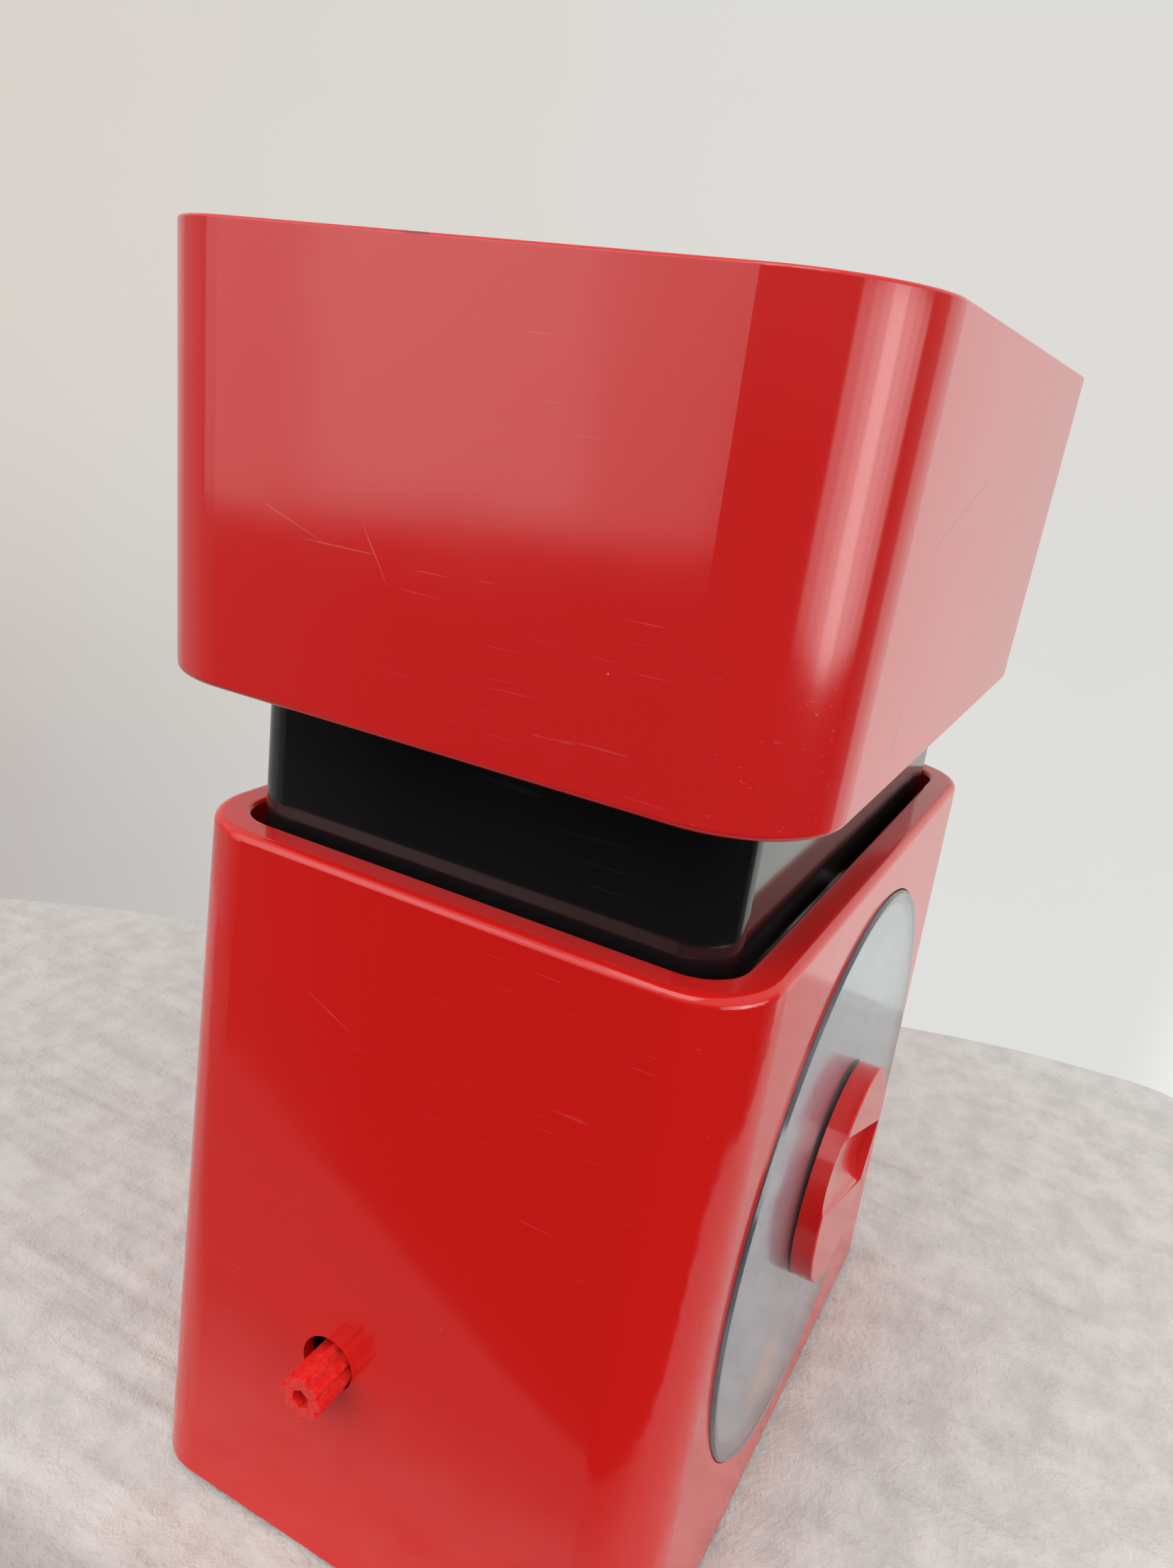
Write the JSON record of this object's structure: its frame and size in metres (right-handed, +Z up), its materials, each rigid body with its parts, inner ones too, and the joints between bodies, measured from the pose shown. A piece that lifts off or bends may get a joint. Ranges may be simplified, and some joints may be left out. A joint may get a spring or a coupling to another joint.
{
  "type": "kitchen scale",
  "caption": "Box-shaped mechanical kitchen scale: round front dial with central tare knob, sprung platform, side zero adjuster and a lift-off tray.",
  "frame": {"origin": "on the ground under the middle of the housing", "axes": "+Z up, the dial faces -Y, the zero adjuster is on the -X side"},
  "size_m": [0.169, 0.1152, 0.2302],
  "materials": {
    "red_abs": "high gloss moulded ABS, deep red",
    "red_spindle": "slightly translucent red, satin",
    "black_abs": "high gloss moulded ABS, black",
    "base_plastic": "fine moulded texture",
    "rubber": "matt",
    "clear_lens": "clear, polished, faint blue at its edge",
    "index_ink": "printed line",
    "dial_print": null,
    "white_acetal": "satin",
    "sheet_steel": "zinc plated sheet",
    "bright_steel": "bright turned",
    "spring_steel": "blued wire and strip",
    "brass": "turned and stamped",
    "spacer_aluminium": "turned"
  },
  "bodies": {
    "housing": {"housing_shell": "red_abs", "base_plate": "base_plastic", "base_screws": "bright_steel", "frame_screws": "bright_steel", "foot_front_left": "rubber", "foot_front_right": "rubber", "foot_rear_left": "rubber", "foot_rear_right": "rubber", "dial_lens": "clear_lens", "index_line": "index_ink", "mechanism_frame": "sheet_steel", "travel_stop": "rubber", "dial_bridge": "sheet_steel", "bridge_screws": "bright_steel", "front_bush": "brass", "rear_bush": "brass", "spindle_bush": "brass", "upper_frame_pin": "bright_steel", "lower_frame_pin": "bright_steel", "zero_lever_pin": "bright_steel", "pivot_clips": "spring_steel", "load_spring_front": "spring_steel", "load_spring_rear": "spring_steel"},
    "platform": {"platform": "black_abs", "platform_screws": "bright_steel", "carrier_bracket": "sheet_steel", "upper_carrier_pin": "bright_steel", "lower_carrier_pin": "bright_steel", "spring_bar": "bright_steel", "rack": "brass", "rack_spacers": "spacer_aluminium", "rack_screws": "bright_steel"},
    "upper_lever": {"upper_lever": "sheet_steel"},
    "lower_lever": {"lower_lever": "sheet_steel"},
    "pinion_shaft": {"pinion_shaft": "bright_steel", "pinion": "brass", "clutch_plate": "brass", "friction_washer": "spring_steel"},
    "dial": {"dial_disc": "dial_print", "dial_boss": "white_acetal", "tare_knob": "red_abs"},
    "zero_spindle": {"zero_spindle": "red_spindle", "zero_screw": "bright_steel", "spindle_clip": "spring_steel"},
    "zero_nut": {"zero_nut": "brass"},
    "zero_lever": {"zero_lever": "sheet_steel"},
    "tray": {"tray": "red_abs"}
  },
  "joints": [
    {"name": "platform_travel", "type": "slide", "parent": "housing", "child": "platform", "axis": [0, 0, -1], "range_m": [0, 0.02], "stiffness_N_per_m": 1470, "springref_m": -0.0045, "deforming": ["load_spring_front", "load_spring_rear"]},
    {"name": "upper_lever_swing", "type": "hinge", "parent": "housing", "child": "upper_lever", "pos_m": [-0.046, 0, 0.104], "axis": [0, 1, 0], "range_deg": [0, 14.3]},
    {"name": "lower_lever_swing", "type": "hinge", "parent": "housing", "child": "lower_lever", "pos_m": [-0.046, 0, 0.03], "axis": [0, 1, 0], "range_deg": [0, 14.3]},
    {"name": "pinion_spin", "type": "hinge", "parent": "housing", "child": "pinion_shaft", "pos_m": [0, -0.0265, 0.0713], "axis": [0, 1, 0], "range_deg": [0, 328]},
    {"name": "dial_tare", "type": "hinge", "parent": "pinion_shaft", "child": "dial", "pos_m": [0, -0.0499, 0.0713], "axis": [0, 1, 0], "continuous": true},
    {"name": "zero_turn", "type": "hinge", "parent": "housing", "child": "zero_spindle", "pos_m": [-0.06, 0.0102, 0.045], "axis": [1, 0, 0], "range_deg": [-720, 720]},
    {"name": "zero_nut_slide", "type": "slide", "parent": "housing", "child": "zero_nut", "axis": [1, 0, 0], "range_m": [-0.003, 0.003]},
    {"name": "zero_lever_swing", "type": "hinge", "parent": "housing", "child": "zero_lever", "pos_m": [-0.03, 0, 0.088], "axis": [0, -1, 0], "range_deg": [-4, 4]},
    {"name": "tray_lift", "type": "slide", "parent": "platform", "child": "tray", "axis": [0, 0, 1], "range_m": [0, 0.05]}
  ],
  "couplings": [
    {"joint": "upper_lever_swing", "follows": "platform_travel", "rad_per_m": 12.435},
    {"joint": "lower_lever_swing", "follows": "platform_travel", "rad_per_m": 12.435},
    {"joint": "pinion_spin", "follows": "platform_travel", "rad_per_m": 285.71},
    {"joint": "zero_turn", "follows": "zero_nut_slide", "rad_per_m": 4188.8},
    {"joint": "zero_lever_swing", "follows": "zero_nut_slide", "rad_per_m": 23.256}
  ]
}
